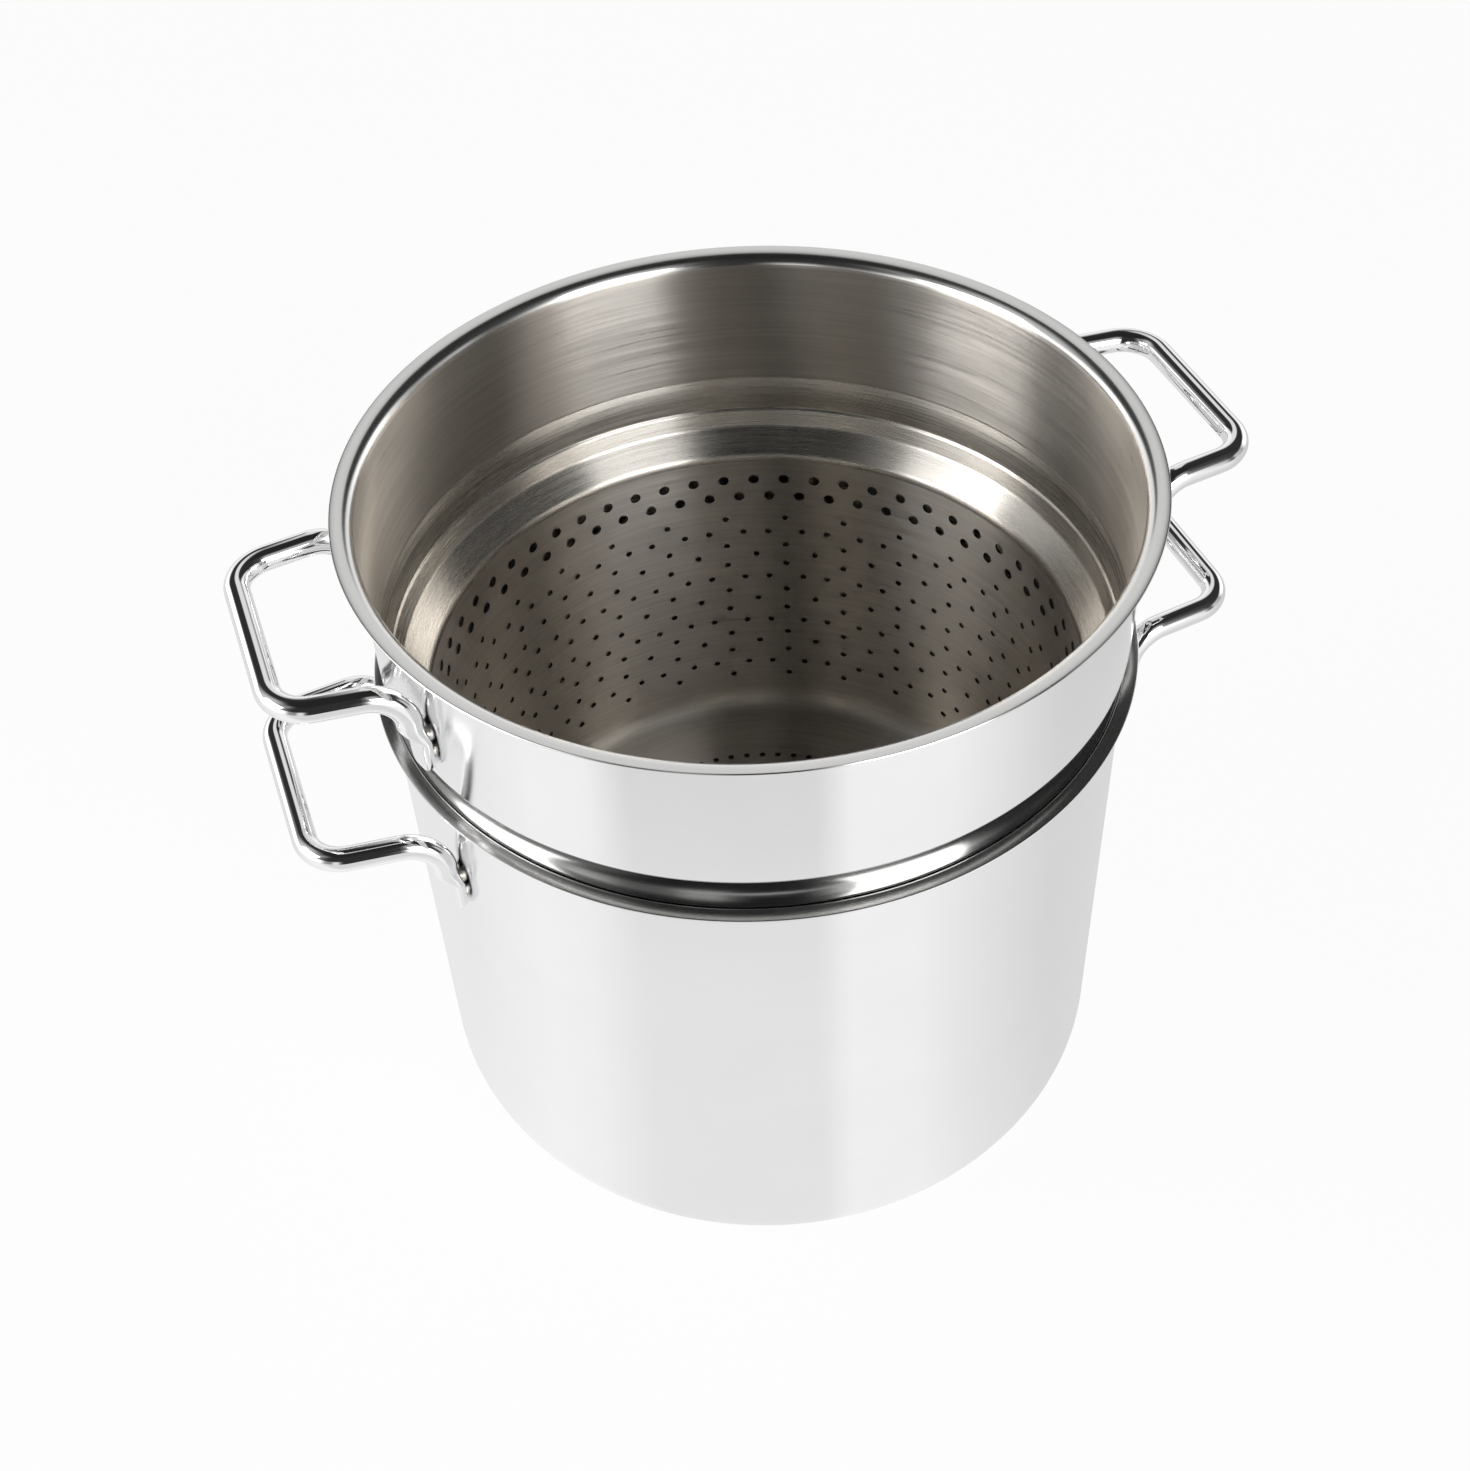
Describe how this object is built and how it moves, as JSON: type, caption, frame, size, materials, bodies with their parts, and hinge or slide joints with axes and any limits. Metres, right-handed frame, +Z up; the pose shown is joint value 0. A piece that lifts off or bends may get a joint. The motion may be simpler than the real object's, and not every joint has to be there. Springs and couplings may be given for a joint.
{
  "type": "pasta pot with strainer insert",
  "caption": "Polished steel stockpot with loop handles and a lift-out perforated strainer whose tall collar rests on the pot's rim.",
  "frame": {"origin": "centre of the flat face that the pot stands on", "axes": "+Z up along the pot's axis; the four loop handles lie along +X and -X"},
  "size_m": [0.324, 0.2564, 0.2547],
  "materials": {
    "polished_steel": "mirror polish",
    "satin_steel": "brushed round the axis",
    "core_aluminium": "plain"
  },
  "bodies": {
    "pot": {"pot_body": "polished_steel", "pot_base_core": "core_aluminium", "pot_base_cap": "polished_steel", "pot_handle_left": "polished_steel", "pot_handle_right": "polished_steel", "pot_handle_welds": "satin_steel"},
    "insert": {"insert_body": "satin_steel", "insert_handle_left": "polished_steel", "insert_handle_right": "polished_steel", "insert_handle_welds": "satin_steel"}
  },
  "joints": [
    {"name": "insert_lift", "type": "slide", "parent": "pot", "child": "insert", "axis": [0, 0, 1], "range_m": [0, 0.2]}
  ]
}
